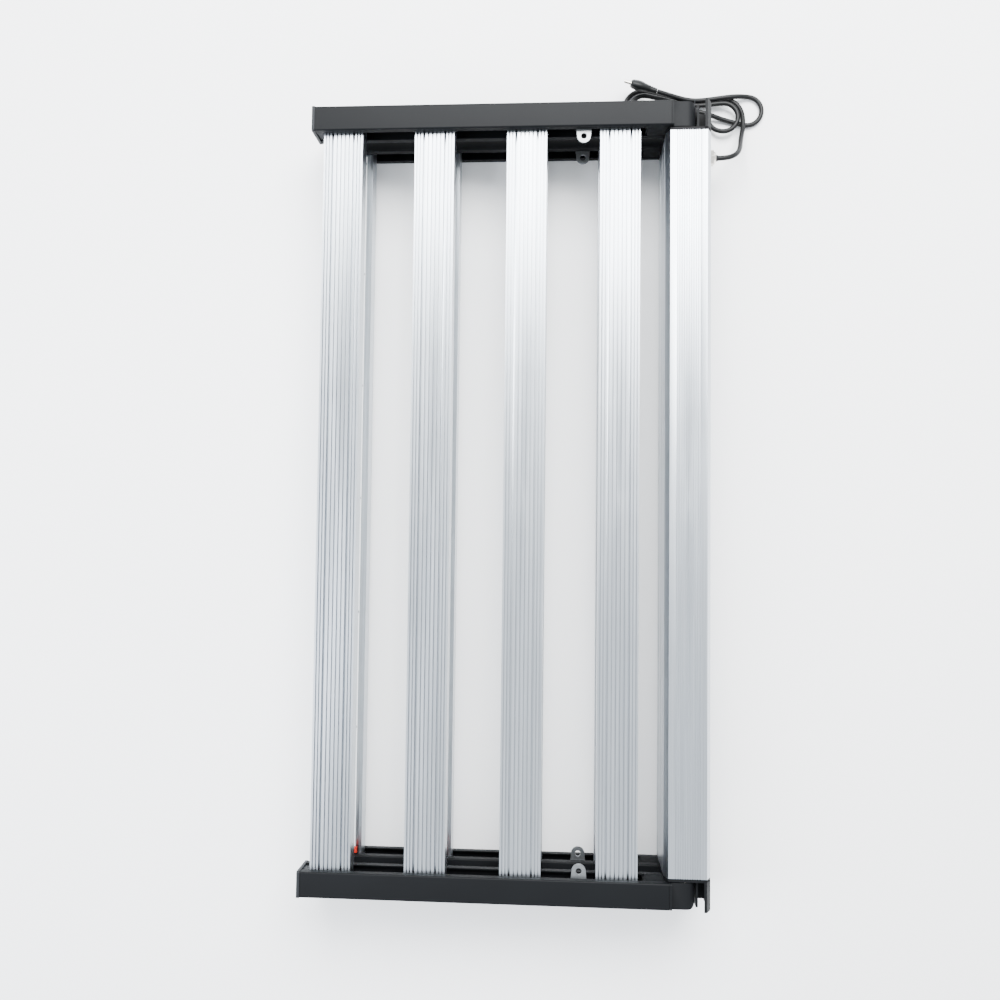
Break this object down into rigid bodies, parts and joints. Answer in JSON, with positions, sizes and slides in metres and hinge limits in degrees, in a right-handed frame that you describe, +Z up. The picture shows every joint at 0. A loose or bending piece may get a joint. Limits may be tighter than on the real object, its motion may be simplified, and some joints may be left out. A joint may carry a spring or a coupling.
{
  "type": "led grow light",
  "caption": "Folding LED grow light: finned aluminium bars between black rails in two wings, hinged on a ribbed driver housing, shut like a book, with its mains cord in a tied hank.",
  "frame": {"origin": "middle of the folded light without its cord, on the surface it lies on", "axes": "+X from the free edge of the wings to the hinge side, +Y along the bars to the end with the mains cord, +Z up from the lower wing's finned face to the upper wing's"},
  "size_m": [0.6496, 1.1731, 0.1248],
  "materials": {
    "black_rail": "satin",
    "black_casting": "satin",
    "cap_plastic": "matte",
    "anodised_aluminium": "satin",
    "white_board": "satin",
    "zinc_screw": "satin",
    "red_plastic": "gloss",
    "lug_steel": "satin",
    "nylon": "matte",
    "green_board": "satin",
    "coil_tape": "satin",
    "capacitor_sleeve": "gloss",
    "nickel": "polished",
    "black_rubber": "matte",
    "cable_sheath": "satin",
    "plug_plastic": "satin"
  },
  "bodies": {
    "lower_wing": {"lower_rail_north": "black_rail", "lower_rail_south": "black_rail", "lower_end_caps": "cap_plastic", "lower_arm_north": "black_casting", "lower_arm_south": "black_casting", "lower_bar_1": "anodised_aluminium", "lower_bar_2": "anodised_aluminium", "lower_bar_3": "anodised_aluminium", "lower_bar_4": "anodised_aluminium", "lower_board_1": "white_board", "lower_board_2": "white_board", "lower_board_3": "white_board", "lower_board_4": "white_board", "lower_board_screws": "zinc_screw", "lower_connectors": "red_plastic", "lower_wiring": "cable_sheath", "lower_rail_screws": "zinc_screw", "lower_lug_north": "lug_steel", "lower_lug_south": "lug_steel", "lower_lug_bolts": "zinc_screw"},
    "spine": {"spine_housing": "anodised_aluminium", "spine_bracket_north": "black_casting", "spine_bracket_south": "black_casting", "bracket_screws": "zinc_screw", "hinge_pins": "zinc_screw", "hinge_washers": "nylon", "driver_board": "green_board", "driver_coils": "coil_tape", "driver_capacitors": "capacitor_sleeve", "gland_body": "nickel", "gland_nut": "nickel", "gland_seal": "black_rubber", "cord_tube": "cable_sheath", "cord_hank": "cable_sheath", "cord_tie": "cap_plastic", "plug_body": "plug_plastic", "plug_pins": "nickel"},
    "upper_wing": {"upper_rail_north": "black_rail", "upper_rail_south": "black_rail", "upper_end_caps": "cap_plastic", "upper_arm_north": "black_casting", "upper_arm_south": "black_casting", "upper_bar_1": "anodised_aluminium", "upper_bar_2": "anodised_aluminium", "upper_bar_3": "anodised_aluminium", "upper_bar_4": "anodised_aluminium", "upper_board_1": "white_board", "upper_board_2": "white_board", "upper_board_3": "white_board", "upper_board_4": "white_board", "upper_board_screws": "zinc_screw", "upper_connectors": "red_plastic", "upper_wiring": "cable_sheath", "upper_rail_screws": "zinc_screw", "upper_lug_north": "lug_steel", "upper_lug_south": "lug_steel", "upper_lug_bolts": "zinc_screw"}
  },
  "joints": [
    {"name": "lower_fold", "type": "hinge", "parent": "lower_wing", "child": "spine", "pos_m": [0.244, 0, 0.019], "axis": [0, 1, 0], "range_deg": [0, 90]},
    {"name": "upper_fold", "type": "hinge", "parent": "spine", "child": "upper_wing", "pos_m": [0.244, 0, 0.105], "axis": [0, 1, 0], "range_deg": [0, 90]}
  ]
}
